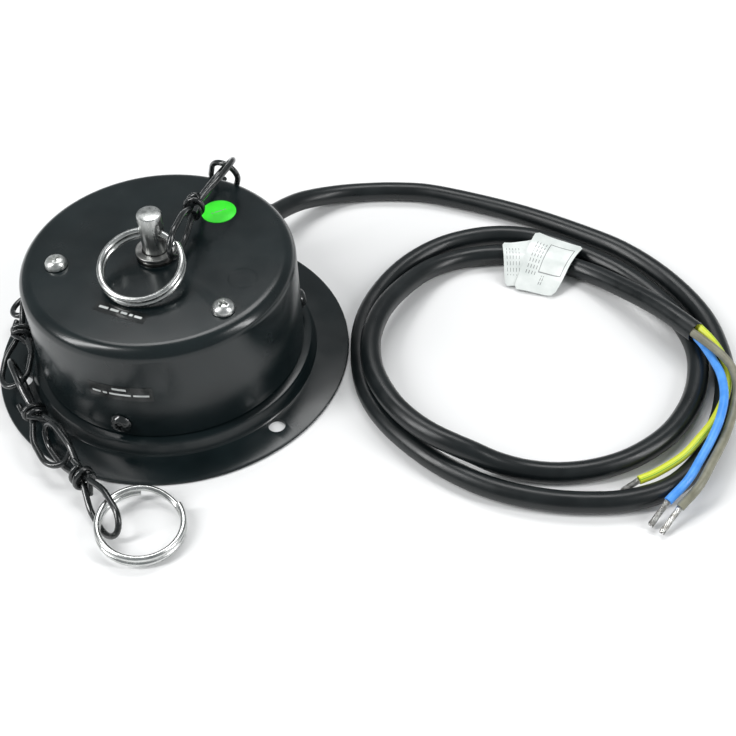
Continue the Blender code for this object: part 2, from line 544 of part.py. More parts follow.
# ---------------------------------------------------------------- inside wiring
def make_wiring():
    terminals = block("terminal_block", (-22, 18.5, SHEET + GAP), (-4, 28.5, 10.5), WHITE_NYLON)
    for n, x in enumerate((-18.8, -13.0, -7.2), 1):
        cut(terminals, as_cutter(rod(f"terminal_hole_{n}", 1.6, 6, (x, 23.5, 6.5), (0, 0, 1), WHITE_NYLON, 12)))
    inner = [
        ("inner_core_brown", CORE_BROWN,
         [(13.9, 27.3, 13.2), (10.6, 25.6, 11.4), (4.5, 26.6, 7.4), (-0.5, 26.7, 6.4), (-3.0, 26.7, 6.4)]),
        ("inner_core_yellow", CORE_YELLOW,
         [(15.8, 27.0, 15.9), (12.6, 22.8, 15.2), (5.2, 22.6, 10.4), (0.2, 23.1, 6.8), (-3.0, 23.2, 6.4)]),
        ("inner_core_blue", CORE_BLUE,
         [(17.2, 26.3, 13.2), (13.6, 19.4, 12.0), (4.8, 18.8, 8.0), (-0.5, 19.8, 6.4), (-3.0, 19.8, 6.4)]),
    ]
    for name, material, route in inner:
        wire(name, smooth(route, 4.0), CORE_RADIUS, material)
    for n, x in enumerate((-16.0, -10.0), 1):
        side = MOTOR_CENTRE[1] + math.sqrt((MOTOR_RADIUS + 1.0) ** 2 - (x - MOTOR_CENTRE[0]) ** 2)
        route = [(x, side, 18.0), (x, side + 2.0, 15.0), (x, side + 3.6, 9.0), (x, 16.0, 6.4), (x, 18.0, 6.2)]
        wire(f"motor_lead_{n}", smooth(route, 2.5), 0.7, BLACK_RUBBER)
    along = polar(1, CORD_EXIT_ANGLE)
    bore = CORD_RADIUS + 0.5
    relief = [(4.7, 34.0), (6.3, 17.0), (6.4, 15.4), (7.4, 14.9), (7.4, 13.2), (5.7, 13.2), (5.7, 10.6),
              (6.9, 10.6), (6.9, 8.8), (bore, 8.8), (bore, 17.0), (bore, 34.0)]
    sleeve("cable_grommet", smooth(CORD_ROUTE, CORD_STEP), relief, BLACK_RUBBER)
    stop = turned("cord_stop", [(6.0, 5.0), (6.0, 0.0), (bore, 0.0), (bore, 5.0)], WHITE_NYLON, steps=24)
    aim(stop, polar(34.5, CORD_EXIT_ANGLE, CORD_EXIT_HEIGHT), along)


# ---------------------------------------------------------------- rings and chain
def split_ring(name, start, single, frame, hinge):
    """Spring ring of two coils. They step past each other over the `single` degrees where one wire is left."""
    sweep = 720.0 - single
    count = 56
    points = []
    for k in range(count + 1):
        turned_by = sweep * k / count
        share = min(max((turned_by - (360.0 - single)) / single, 0.0), 1.0)
        step = COIL_STEP * (0.5 - share * share * (3 - 2 * share))
        x, y, _ = polar(RING_RADIUS, start - turned_by)
        points.append(frame @ Vector((x, y, step)))
    return wire(name, points, RING_WIRE, NICKEL, origin=hinge)


def make_rings():
    turn = Matrix.Rotation(math.radians(UPPER_RING_SIDE), 4, "Z")
    lean = Matrix.Rotation(math.radians(RING_LEAN), 4, "Y")
    at_hole = Matrix.Translation((0.0, 0.0, CROSS_HOLE_HEIGHT))
    upper = at_hole @ turn @ lean @ Matrix.Translation((RING_RADIUS, 0.0, 0.0))
    hole_side = 180.0
    split_ring("upper_split_ring", hole_side - 46.0, 52.0, upper, (0.0, 0.0, CROSS_HOLE_HEIGHT))
    lift_axis = Vector(polar(1, LOWER_RING_LIFT_SIDE - 90))
    lift = Matrix.Rotation(math.radians(LOWER_RING_LIFT), 4, lift_axis)
    lower = Matrix.Translation(LOWER_RING_CENTRE) @ lift
    split_ring("lower_split_ring", 32.0, 62.0, lower, LOWER_HINGE)


def half_width(share):
    """Half the width of a link's loop, from its waist (0) to its tip (1)."""
    neck = min(share / 0.5, 1.0)
    body = LINK_WAIST + (LINK_HALF_WIDTH - LINK_WAIST) * neck * neck * (3 - 2 * neck)
    nose = max(0.0, (share - 0.72) / 0.28)
    return body * math.sqrt(max(0.0, 1.0 - nose * nose))


def loop_side(waist, tip, wide):
    """Centre line of one side of a loop, from the waist to just short of the tip."""
    ahead = Vector(tip) - Vector(waist)
    across = Vector(wide) - ahead * (Vector(wide).dot(ahead) / ahead.length_squared)
    across.normalize()
    shares = (0.12, 0.3, 0.5, 0.72, 0.86, 0.95, 0.985)
    return [Vector(waist) + ahead * s + across * half_width(s) for s in shares], across


def make_chain():
    for n, (start, waist, end, wide_first, wide_second) in enumerate(CHAIN, 1):
        first, first_way = loop_side(waist, start, wide_first)
        first_back, _ = loop_side(waist, start, [-v for v in wide_first])
        second, second_way = loop_side(waist, end, wide_second)
        second_back, _ = loop_side(waist, end, [-v for v in wide_second])
        middle = (first_way + second_way).normalized() * LINK_WAIST
        near, far = Vector(waist) + middle, Vector(waist) - middle
        points = [*reversed(first), near, *second, Vector(end)]
        points += [*reversed(second_back), far, *first_back, Vector(start)]
        wire(f"chain_link_{n}", points, LINK_WIRE, BLACK_WIRE, closed=True)


# ---------------------------------------------------------------- lead, tag and sticker
def make_lead():
    wire("mains_cord", smooth(CORD_ROUTE, CORD_STEP), CORD_RADIUS, CORD_BLACK)
    cores = [("core_blue", BLUE_ROUTE, CORE_BLUE, BLUE_TIP), ("core_brown", BROWN_ROUTE, CORE_BROWN, BROWN_TIP),
             ("core_yellow", YELLOW_ROUTE, CORE_YELLOW, YELLOW_TIP)]
    for name, route, material, tip in cores:
        wire(name, smooth(route, 6.0), CORE_RADIUS, material)
        end = Vector(route[-1])
        way = (Vector(tip) - end).normalized()
        length = (Vector(tip) - end).length
        rod(f"{name}_tip", TIP_RADIUS, length - 2.0, end + way * 2.0, way, TINNED, 12)


def make_tag_and_sticker():
    fold = [(-16.7, 0.8), (-11.0, 3.4), (-6.8, 7.0), (-2.6, 8.3), (2.0, 8.5), (7.5, 8.4)]
    outline = fold + [(run, z + TAG_THICKNESS) for run, z in reversed(fold)]
    tag = plate("cable_tag", [outline], -TAG_WIDTH / 2, TAG_WIDTH / 2, TAG_WHITE)
    tag.rotation_euler = (math.radians(90), 0.0, math.radians(TAG_ANGLE))
    tag.location = Vector((*TAG_PLACE, 0.0)) * MM
    low = CUP_TOP + GAP
    plate("green_sticker", [circle(5.8, count=32)], low, low + 0.2, STICKER_GREEN, at=(19.2, 20.1))


make_base_plate()
make_cup()
make_fixings()
make_shaft()
make_gears()
make_motor()
make_wiring()
make_rings()
make_chain()
make_lead()
make_tag_and_sticker()
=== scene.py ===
"""Looks for the mirror-ball motor: finish, wire work, lead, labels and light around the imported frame.

Places are millimetres unless a name ends in _m; MM turns them into metres.
"""
import json
import math

import bmesh
import bpy
from mathutils import Matrix, Vector


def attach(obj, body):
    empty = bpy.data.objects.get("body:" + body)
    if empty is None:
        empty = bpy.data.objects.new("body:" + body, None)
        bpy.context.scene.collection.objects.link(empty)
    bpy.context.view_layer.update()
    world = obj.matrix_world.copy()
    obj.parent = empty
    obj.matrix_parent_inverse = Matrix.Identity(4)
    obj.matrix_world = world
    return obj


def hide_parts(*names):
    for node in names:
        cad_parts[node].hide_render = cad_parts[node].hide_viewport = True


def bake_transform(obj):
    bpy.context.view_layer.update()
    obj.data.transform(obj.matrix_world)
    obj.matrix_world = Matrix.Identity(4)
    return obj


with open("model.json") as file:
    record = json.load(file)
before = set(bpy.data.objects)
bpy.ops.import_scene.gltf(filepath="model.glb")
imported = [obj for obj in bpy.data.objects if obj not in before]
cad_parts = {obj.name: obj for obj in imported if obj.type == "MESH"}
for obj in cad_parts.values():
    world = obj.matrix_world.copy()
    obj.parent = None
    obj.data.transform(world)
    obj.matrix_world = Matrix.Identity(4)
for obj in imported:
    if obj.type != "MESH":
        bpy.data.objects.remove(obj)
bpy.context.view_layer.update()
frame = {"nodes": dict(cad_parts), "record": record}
MM = 0.001


# ---------------------------------------------------------------- camera
CAMERA_PLACE_M = (0.06607, -0.31901, 0.31815)
CAMERA_PITCH = 46.13
CAMERA_ROLL = -2.98
LENS = 63.6


def make_camera():
    """Camera looking along +Y and down by the pitch, then rolled about its own line of sight."""
    data = bpy.data.cameras.new("camera")
    data.lens = LENS
    data.sensor_width = 36.0
    data.clip_start = 0.01
    camera = bpy.data.objects.new("camera", data)
    pitch, roll = math.radians(CAMERA_PITCH), math.radians(CAMERA_ROLL)
    forward = Vector((0.0, math.cos(pitch), -math.sin(pitch)))
    side = Vector((1.0, 0.0, 0.0))
    upward = side.cross(forward)
    turned_side = math.cos(roll) * side + math.sin(roll) * upward
    turned_up = math.cos(roll) * upward - math.sin(roll) * side
    turn = Matrix((turned_side, turned_up, -forward)).transposed().to_4x4()
    camera.matrix_world = Matrix.Translation(CAMERA_PLACE_M) @ turn
    bpy.context.scene.collection.objects.link(camera)
    bpy.context.scene.camera = camera


make_camera()


# ---------------------------------------------------------------- materials
class Shader:
    """A Principled material whose colour, roughness and surface vary with position on the piece."""

    def __init__(self, name, roughness, metallic=0.0, stretch=(1.0, 1.0, 1.0)):
        self.material = bpy.data.materials.new(name)
        self.material.use_nodes = True
        self.nodes = self.material.node_tree.nodes
        self.links = self.material.node_tree.links
        self.body = self.nodes["Principled BSDF"]
        self.body.inputs["Roughness"].default_value = roughness
        self.body.inputs["Metallic"].default_value = metallic
        place = self.nodes.new("ShaderNodeTexCoord")
        mapping = self.nodes.new("ShaderNodeMapping")
        mapping.inputs["Scale"].default_value = stretch
        self.links.new(place.outputs["Object"], mapping.inputs["Vector"])
        self.place = mapping.outputs["Vector"]

    def noise(self, scale, detail=3.0):
        node = self.nodes.new("ShaderNodeTexNoise")
        node.inputs["Scale"].default_value = scale
        node.inputs["Detail"].default_value = detail
        self.links.new(self.place, node.inputs["Vector"])
        return node.outputs["Fac"]

    def ramp(self, source, stops, constant=False):
        """Base colour from a value: each stop is a position and a colour."""
        node = self.nodes.new("ShaderNodeValToRGB")
        node.color_ramp.interpolation = "CONSTANT" if constant else "LINEAR"
        elements = node.color_ramp.elements
        while len(elements) < len(stops):
            elements.new(0.5)
        for element, (at, colour) in zip(elements, stops):
            element.position = at
            element.color = (*colour, 1.0)
        self.links.new(source, node.inputs["Fac"])
        self.links.new(node.outputs["Color"], self.body.inputs["Base Color"])

    def colour(self, scale, dark, light):
        self.ramp(self.noise(scale), [(0.35, dark), (0.65, light)])

    def sheen(self, scale, low, high):
        """Roughness that varies between low and high."""
        node = self.nodes.new("ShaderNodeMapRange")
        node.inputs["From Min"].default_value = 0.3
        node.inputs["From Max"].default_value = 0.7
        node.inputs["To Min"].default_value = low
        node.inputs["To Max"].default_value = high
        self.links.new(self.noise(scale, 4.0), node.inputs["Value"])
        self.links.new(node.outputs["Result"], self.body.inputs["Roughness"])

    def bump(self, scale, strength, distance):
        """Fine relief, added to any relief that is already there."""
        node = self.nodes.new("ShaderNodeBump")
        node.inputs["Strength"].default_value = strength
        node.inputs["Distance"].default_value = distance
        previous = self.body.inputs["Normal"].links
        if previous:
            self.links.new(previous[0].from_socket, node.inputs["Normal"])
        self.links.new(self.noise(scale, 2.0), node.inputs["Height"])
        self.links.new(node.outputs["Normal"], self.body.inputs["Normal"])

    def coat(self, weight, roughness):
        self.body.inputs["Coat Weight"].default_value = weight
        self.body.inputs["Coat Roughness"].default_value = roughness


def enamel():
    made = Shader("enamel_black", 0.3)
    made.colour(60.0, (0.0035, 0.0072, 0.0082), (0.007, 0.0122, 0.0135))
    made.body.inputs["Specular IOR Level"].default_value = 0.42
    made.sheen(90.0, 0.2, 0.28)
    made.bump(900.0, 0.05, 0.0001)
    made.coat(0.12, 0.14)
    return made.material


def turned_steel():
    made = Shader("turned_steel", 0.28, 1.0, (1.0, 1.0, 0.12))
    made.colour(420.0, (0.4, 0.41, 0.4), (0.68, 0.69, 0.68))
    made.sheen(520.0, 0.22, 0.4)
    made.bump(900.0, 0.12, 0.00005)
    return made.material


def zinc():
    made = Shader("zinc_plate", 0.3, 1.0)
    made.colour(420.0, (0.5, 0.51, 0.5), (0.85, 0.86, 0.84))
    made.sheen(600.0, 0.22, 0.42)
    made.bump(1500.0, 0.2, 0.00005)
    return made.material


def nickel():
    made = Shader("nickel_wire", 0.2, 1.0)
    made.colour(150.0, (0.5, 0.51, 0.5), (0.68, 0.69, 0.68))
    made.sheen(300.0, 0.18, 0.3)
    made.bump(1400.0, 0.04, 0.00004)
    return made.material


def black_wire():
    made = Shader("black_wire_paint", 0.22)
    made.colour(300.0, (0.005, 0.0065, 0.007), (0.012, 0.0145, 0.015))
    made.sheen(500.0, 0.14, 0.34)
    made.bump(900.0, 0.14, 0.00008)
    made.coat(0.5, 0.1)
    return made.material


def sheath_rubber():
    made = Shader("sheath_rubber", 0.4)
    made.colour(80.0, (0.004, 0.006, 0.0068), (0.0075, 0.0105, 0.0115))
    made.body.inputs["Specular IOR Level"].default_value = 0.46
    made.sheen(160.0, 0.27, 0.38)
    made.bump(2200.0, 0.16, 0.00005)
    made.bump(130.0, 0.08, 0.0003)
    return made.material


def soft_rubber():
    made = Shader("soft_rubber", 0.55)
    made.colour(200.0, (0.007, 0.009, 0.009), (0.014, 0.017, 0.018))
    made.sheen(300.0, 0.45, 0.65)
    made.bump(1800.0, 0.2, 0.00006)
    return made.material


def insulation(name, dark, light):
    made = Shader(name, 0.36)
    made.colour(260.0, dark, light)
    made.sheen(400.0, 0.3, 0.46)
    made.bump(1300.0, 0.1, 0.00005)
    return made.material


def striped_insulation():
    """Yellow insulation with green stripes along it, from the angle stored round the wire."""
    made = Shader("insulation_yellow_green", 0.36)
    around = made.nodes.new("ShaderNodeAttribute")
    around.attribute_name = "around"
    yellow, green = (0.66, 0.72, 0.045), (0.2, 0.45, 0.035)
    stops = [(0.0, yellow), (0.36, green), (0.5, yellow), (0.9, green)]
    made.ramp(around.outputs["Fac"], stops, constant=True)
    made.sheen(400.0, 0.3, 0.46)
    made.bump(1300.0, 0.1, 0.00005)
    return made.material


def tinned_copper():
    made = Shader("tinned_strand", 0.35, 1.0)
    made.colour(700.0, (0.36, 0.35, 0.33), (0.78, 0.78, 0.76))
    made.sheen(900.0, 0.25, 0.5)
    made.bump(2500.0, 0.3, 0.00004)
    return made.material


def film(name, dark, light, roughness, coat=0.0):
    made = Shader(name, roughness)
    made.colour(150.0, dark, light)
    made.sheen(240.0, roughness - 0.07, roughness + 0.07)
    made.bump(600.0, 0.1, 0.0001)
    made.coat(coat, 0.15)
    return made.material


def plain_metal(name, dark, light):
    made = Shader(name, 0.35, 1.0)
    made.colour(300.0, dark, light)
    made.sheen(500.0, 0.28, 0.45)
    made.bump(1200.0, 0.2, 0.00005)
    return made.material


ENAMEL = enamel()
STEEL = turned_steel()
ZINC = zinc()
NICKEL = nickel()
BLACK_WIRE = black_wire()
SHEATH = sheath_rubber()
RUBBER = soft_rubber()
BLUE = insulation("insulation_blue", (0.06, 0.28, 0.8), (0.1, 0.37, 0.95))
BROWN = insulation("insulation_brown", (0.17, 0.165, 0.12), (0.24, 0.235, 0.175))
YELLOW = striped_insulation()
STRAND = tinned_copper()
TAG_FILM = film("tag_film", (0.66, 0.7, 0.68), (0.82, 0.85, 0.83), 0.4, 0.2)
TAG_PRINT = film("tag_print", (0.16, 0.17, 0.17), (0.3, 0.31, 0.31), 0.5)
GREEN = film("sticker_paper", (0.03, 0.85, 0.02), (0.05, 0.98, 0.03), 0.5)
PATCH = film("label_patch", (0.003, 0.004, 0.004), (0.006, 0.008, 0.008), 0.2, 0.4)
PATCH_PRINT = film("label_print", (0.42, 0.44, 0.43), (0.62, 0.64, 0.63), 0.45)
BRASS = plain_metal("brass_plain", (0.55, 0.4, 0.17), (0.75, 0.56, 0.27))
WASHER_STEEL = plain_metal("washer_steel", (0.2, 0.2, 0.195), (0.42, 0.42, 0.41))
DARK_STEEL = plain_metal("oiled_steel", (0.1, 0.1, 0.095), (0.22, 0.22, 0.21))
COPPER = plain_metal("copper_winding", (0.5, 0.2, 0.1), (0.75, 0.36, 0.2))
NYLON = film("nylon_natural", (0.7, 0.69, 0.63), (0.82, 0.81, 0.76), 0.45)
FERRITE = film("ferrite_dark", (0.03, 0.03, 0.033), (0.06, 0.06, 0.064), 0.7)


# ---------------------------------------------------------------- shapes
def smooth(points, step):
    """Points about `step` apart on a smooth curve through the given ones."""
    way = [Vector(p) for p in points]
    way = [2 * way[0] - way[1], *way, 2 * way[-1] - way[-2]]
    fine = []
    parts = 12
    spans = zip(way, way[1:], way[2:], way[3:])
    for before, start, end, after in spans:
        for k in range(parts):
            t = k / parts
            fine.append(0.5 * (2 * start + (end - before) * t
                               + (2 * before - 5 * start + 4 * end - after) * t ** 2
                               + (3 * start - before - 3 * end + after) * t ** 3))
    fine.append(way[-2])
    run = [0.0]
    for a, b in zip(fine, fine[1:]):
        run.append(run[-1] + (b - a).length)
    count = max(2, round(run[-1] / step))
    out, k = [], 0
    for n in range(count + 1):
        want = run[-1] * n / count
        while k < len(run) - 2 and run[k + 1] < want:
            k += 1
        share = (want - run[k]) / (run[k + 1] - run[k])
        out.append(fine[k].lerp(fine[k + 1], share))
    return out


def length_of(path):
    return sum((b - a).length for a, b in zip(path, path[1:]))


def add_tube(shape, path, radius, sides, closed=False, around=None, capped=True):
    """Adds a round tube along the path to a bmesh, its rings carried along without twist."""
    count = len(path)
    tangents = []
    for k in range(count):
        before = path[k - 1] if closed or k else path[0]
        after = path[(k + 1) % count] if closed or k < count - 1 else path[-1]
        tangents.append((after - before).normalized())
    start = Vector((0.0, 0.0, 1.0))
    if abs(tangents[0].dot(start)) > 0.9:
        start = Vector((1.0, 0.0, 0.0))
    normal = (start - tangents[0] * start.dot(tangents[0])).normalized()
    normals = [normal]
    for tangent in tangents[1:]:
        normal = (normal - tangent * normal.dot(tangent)).normalized()
        normals.append(normal)
    twist = 0.0
    if closed:
        last = (normal - tangents[0] * normal.dot(tangents[0])).normalized()
        twist = math.atan2(last.cross(normals[0]).dot(tangents[0]), last.dot(normals[0]))
    rings = []
    for k, (point, tangent, out) in enumerate(zip(path, tangents, normals)):
        sideways = tangent.cross(out)
        ring = []
        for n in range(sides):
            turn = 2 * math.pi * n / sides + twist * k / count
            offset = radius * (math.cos(turn) * out + math.sin(turn) * sideways)
            vert = shape.verts.new((point + offset) * MM)
            if around is not None:
                vert[around] = n / sides
            ring.append(vert)
        rings.append(ring)
    pairs = list(zip(rings, rings[1:])) + ([(rings[-1], rings[0])] if closed else [])
    for low, high in pairs:
        for n in range(sides):
            m = (n + 1) % sides
            shape.faces.new((low[n], low[m], high[m], high[n]))
    if capped and not closed:
        shape.faces.new(list(reversed(rings[0])))
        shape.faces.new(rings[-1])
    return rings


def to_object(name, shape, material, body, replaced=(), angle=40):
    """Turns a bmesh into an object that rides on a body, and stands for the CAD nodes it replaces."""
    bmesh.ops.recalc_face_normals(shape, faces=shape.faces)
    mesh = bpy.data.meshes.new(name)
    shape.to_mesh(mesh)
    shape.free()
    mesh.shade_smooth()
    mesh.set_sharp_from_angle(angle=math.radians(angle))
    mesh.materials.append(material)
    made = bpy.data.objects.new(name, mesh)
    bpy.context.scene.collection.objects.link(made)
    if body:
        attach(made, body)
    if replaced:
        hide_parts(*replaced)
    return made


def tube(name, path, radius, material, body, replaced=(), sides=16, closed=False):
    shape = bmesh.new()
    around = shape.verts.layers.float.new("around")
    add_tube(shape, path, radius, sides, closed, around)
    return to_object(name, shape, material, body, replaced)


def add_lathe(shape, profile, steps, place=Matrix()):
    """Adds a turned closed solid to a bmesh: profile points are (radius, height), on the axis at radius 0."""
    rings = []
    for radius, height in profile:
        if radius == 0:
            rings.append([shape.verts.new(place @ Vector((0.0, 0.0, height * MM)))])
            continue
        ring = []
        for n in range(steps):
            turn = 2 * math.pi * n / steps
            across, along = radius * math.cos(turn) * MM, radius * math.sin(turn) * MM
            ring.append(shape.verts.new(place @ Vector((across, along, height * MM))))
        rings.append(ring)
    pairs = list(zip(rings, rings[1:]))
    if profile[0][0] > 0:
        pairs.append((rings[-1], rings[0]))
    for upper, lower in pairs:
        for n in range(steps):
            m = (n + 1) % steps
            corners = [upper[n % len(upper)], upper[m % len(upper)],
                       lower[m % len(lower)], lower[n % len(lower)]]
            face = list(dict.fromkeys(corners))
            if len(face) > 2:
                shape.faces.new(face)


def lathe(name, profile, material, body, replaced=(), steps=96, place=Matrix(), angle=40):
    shape = bmesh.new()
    add_lathe(shape, profile, steps, place)
    return to_object(name, shape, material, body, replaced, angle)


def rounded(profile, radius):
    """The same outline with each inner corner turned into an arc-like curve of about this radius."""
    parts = 4
    points = [Vector(p) for p in profile]
    out = [points[0]]
    for before, corner, after in zip(points, points[1:], points[2:]):
        reach = min(radius, (before - corner).length * 0.45, (after - corner).length * 0.45)
        start = corner + (before - corner).normalized() * reach
        end = corner + (after - corner).normalized() * reach
        for k in range(parts + 1):
            t = k / parts
            out.append((1 - t) ** 2 * start + 2 * t * (1 - t) * corner + t * t * end)
    out.append(points[-1])
    return [tuple(p) for p in out]


def polar(radius, degrees, z=0.0):
    """The point at this radius and angle about the Z axis."""
    turn = math.radians(degrees)
    return Vector((radius * math.cos(turn), radius * math.sin(turn), z))


def aimed(start, direction):
    """A place at start whose local Z points along the direction."""
    turn = Vector(direction).to_track_quat("Z", "Y").to_matrix().to_4x4()
    return Matrix.Translation(Vector(start) * MM) @ turn


def cut(target, name, profile, place, steps=40):
    """Cuts a turned hole into a piece."""
    shape = bmesh.new()
    add_lathe(shape, profile, steps, place)
    cut_with(target, to_object(name, shape, target.data.materials[0], None))


def cut_with(target, cutter):
    """Cuts one piece by another, which is removed, and leaves no modifier on it."""
    step = target.modifiers.new("cut", "BOOLEAN")
    step.operation = "DIFFERENCE"
    step.solver = "EXACT"
    step.object = cutter
    bpy.context.view_layer.update()
    evaluated = target.evaluated_get(bpy.context.evaluated_depsgraph_get())
    mesh = bpy.data.meshes.new_from_object(evaluated)
    target.modifiers.clear()
    target.data = mesh
    mesh.shade_smooth()
    mesh.set_sharp_from_angle(angle=math.radians(40))
    bpy.data.objects.remove(cutter, do_unlink=True)


# ---------------------------------------------------------------- lead
CORD_RADIUS = 3.5
CORD_SIDES = 20
MOUTH_RADIUS = 3.3
MOUTH_DEPTH = 2.2
CORE_RADIUS = 1.4
STRAND_RADIUS = 0.21
CORD_ROUTE_M = [
    (0.016, 0.0277, 0.014), (0.0225, 0.039, 0.014), (0.0285, 0.0494, 0.013), (0.035, 0.0588, 0.011),
    (0.0435, 0.0683, 0.008), (0.0545, 0.0748, 0.005), (0.0665, 0.0775, 0.0036), (0.082, 0.0768, 0.0036),
    (0.097, 0.0733, 0.0036), (0.126, 0.0597, 0.0036), (0.152, 0.0428, 0.0036), (0.1645, 0.0315, 0.0036),
    (0.175, 0.0165, 0.0036), (0.182, 0.0, 0.0036), (0.184, -0.016, 0.0036), (0.183, -0.0305, 0.0036),
    (0.179, -0.044, 0.0036), (0.173, -0.056, 0.0036), (0.166, -0.066, 0.0036), (0.1555, -0.0743, 0.0036),
    (0.1415, -0.078, 0.0036), (0.128, -0.0777, 0.0036), (0.1165, -0.0756, 0.0036),
    (0.1045, -0.0715, 0.0036), (0.094, -0.0654, 0.0036), (0.083, -0.056, 0.0036), (0.0718, -0.042, 0.0036),
    (0.0656, -0.028, 0.0036), (0.0638, -0.012, 0.0036), (0.0655, 0.0055, 0.0036), (0.0718, 0.0205, 0.0036),
    (0.082, 0.034, 0.0036), (0.0955, 0.0436, 0.0036), (0.1105, 0.0478, 0.0036), (0.124, 0.047, 0.0036),
    (0.136, 0.042, 0.0036), (0.1485, 0.033, 0.0036), (0.16, 0.022, 0.0036), (0.1705, 0.006, 0.0036),
    (0.1752, -0.007, 0.0036), (0.1762, -0.018, 0.0036), (0.174, -0.0295, 0.0036), (0.169, -0.041, 0.0036),
    (0.16, -0.0525, 0.0036), (0.148, -0.0608, 0.0036), (0.136, -0.065, 0.0036), (0.124, -0.066, 0.0036),
    (0.113, -0.0644, 0.004), (0.104, -0.0624, 0.0062), (0.097, -0.0604, 0.0092), (0.0905, -0.0575, 0.0107),
    (0.0845, -0.0533, 0.011), (0.0785, -0.0472, 0.011), (0.073, -0.039, 0.011), (0.0688, -0.0285, 0.011),
    (0.0672, -0.018, 0.011), (0.0682, -0.0065, 0.0107), (0.0728, 0.0065, 0.0096), (0.0805, 0.019, 0.0074),
    (0.0898, 0.0296, 0.005), (0.101, 0.0356, 0.0036), (0.1135, 0.0372, 0.0036), (0.126, 0.0352, 0.0036),
    (0.137, 0.0305, 0.0037), (0.147, 0.0235, 0.0046), (0.156, 0.0135, 0.0066), (0.1665, -0.001, 0.0097),
    (0.1755, -0.0155, 0.0112),
]
BLUE_ROUTE_M = [
    (0.17595, -0.0163, 0.00935), (0.1772, -0.0195, 0.0093), (0.1786, -0.0262, 0.0098),
    (0.1792, -0.0355, 0.0113), (0.1778, -0.0455, 0.0122), (0.1744, -0.0545, 0.0118),
    (0.1705, -0.0612, 0.0102), (0.1658, -0.068, 0.009), (0.1606, -0.0753, 0.0086), (0.1539, -0.0808, 0.006),
]
BROWN_ROUTE_M = [
    (0.1743, -0.0167, 0.0121), (0.1768, -0.0207, 0.0125), (0.1796, -0.0256, 0.0129), (0.182, -0.03, 0.0126),
    (0.1834, -0.0348, 0.0119), (0.1832, -0.041, 0.0102), (0.1802, -0.0495, 0.0091),
    (0.1754, -0.0594, 0.0089), (0.1689, -0.0697, 0.0089), (0.1634, -0.0777, 0.0082),
    (0.1573, -0.0826, 0.005),
]
YELLOW_ROUTE_M = [
    (0.1771, -0.0151, 0.0121), (0.1796, -0.0192, 0.0113), (0.1819, -0.0245, 0.0099),
    (0.1827, -0.03, 0.0091), (0.1814, -0.037, 0.009), (0.1786, -0.044, 0.00895), (0.1736, -0.0522, 0.0088),
    (0.168, -0.0586, 0.0084), (0.1614, -0.0646, 0.0069), (0.1528, -0.0693, 0.0056), (0.147, -0.0714, 0.005),
]
BLUE_TIP = (148.0, -86.3, 1.6)
BROWN_TIP = (150.8, -89.2, 1.6)
YELLOW_TIP = (141.9, -72.7, 1.6)


def in_mm(route_m):
    return [Vector(p) / MM for p in route_m]


def make_sheath():
    """Round sheath whose stripped end is a thin lip with the cores coming out of its mouth."""
    path = smooth(in_mm(CORD_ROUTE_M), 3.0)
    shape = bmesh.new()
    around = shape.verts.layers.float.new("around")
    rings = add_tube(shape, path, CORD_RADIUS, CORD_SIDES, around=around, capped=False)
    first, last = rings[0], rings[-1]
    shape.faces.new(list(reversed(first)))
    end = path[-1] * MM
    back = (path[-2] - path[-1]).normalized() * MOUTH_DEPTH * MM
    lip, floor = [], []
    for vert in last:
        inward = end + (vert.co - end) * (MOUTH_RADIUS / CORD_RADIUS)
        lip.append(shape.verts.new(inward))
        floor.append(shape.verts.new(inward + back))
    for outer, inner in ((last, lip), (lip, floor)):
        for n in range(CORD_SIDES):
            m = (n + 1) % CORD_SIDES
            shape.faces.new((outer[n], outer[m], inner[m], inner[n]))
    shape.faces.new(floor)
    made = to_object("lead_sheath", shape, SHEATH, "root", ["mains_cord"])
    return made, path


def make_strands(name, route, tip, node):
    """Twisted bundle of fine tinned strands from the end of the insulation to the tip."""
    start = route[-1]
    way = (Vector(tip) - start).normalized()
    side = way.cross(Vector((0.0, 0.0, 1.0))).normalized()
    upward = side.cross(way)
    reach = (Vector(tip) - start).length
    shape = bmesh.new()
    inner = [(0.42, 60.0 * k) for k in range(6)]
    outer = [(0.8, 30.0 * k + 15) for k in range(12)]
    parts, twist = 8, 150
    for n, (radius, angle) in enumerate([(0.0, 0.0), *inner, *outer]):
        fray = ((n * 7) % 5 - 1) / 4
        cut_back = 1.0 - 0.03 * ((n * 5) % 4)
        path = []
        for k in range(parts + 1):
            share = k / parts
            turn = math.radians(angle + twist * share)
            spread = radius * (1.0 - 0.12 * math.sin(share * math.pi) + 0.12 * share * fray)
            offset = spread * (math.cos(turn) * side + math.sin(turn) * upward)
            path.append(start + way * (reach * share * cut_back) + offset)
        add_tube(shape, path, STRAND_RADIUS, 6)
    return to_object(name, shape, STRAND, "root", [node])


def make_core(name, route_m, tip, material, colour):
    """One insulated core, which starts inside the sheath's mouth, and its bared strands."""
    route = in_mm(route_m)
    way = (route[1] - route[0]).normalized()
    step = 1.6
    path = [route[0] - way * step, *smooth(route, step)]
    core = tube(name, path, CORE_RADIUS, material, "root", ["core_" + colour])
    strands = make_strands(name + "_strands", route, tip, f"core_{colour}_tip")
    return [core, strands]


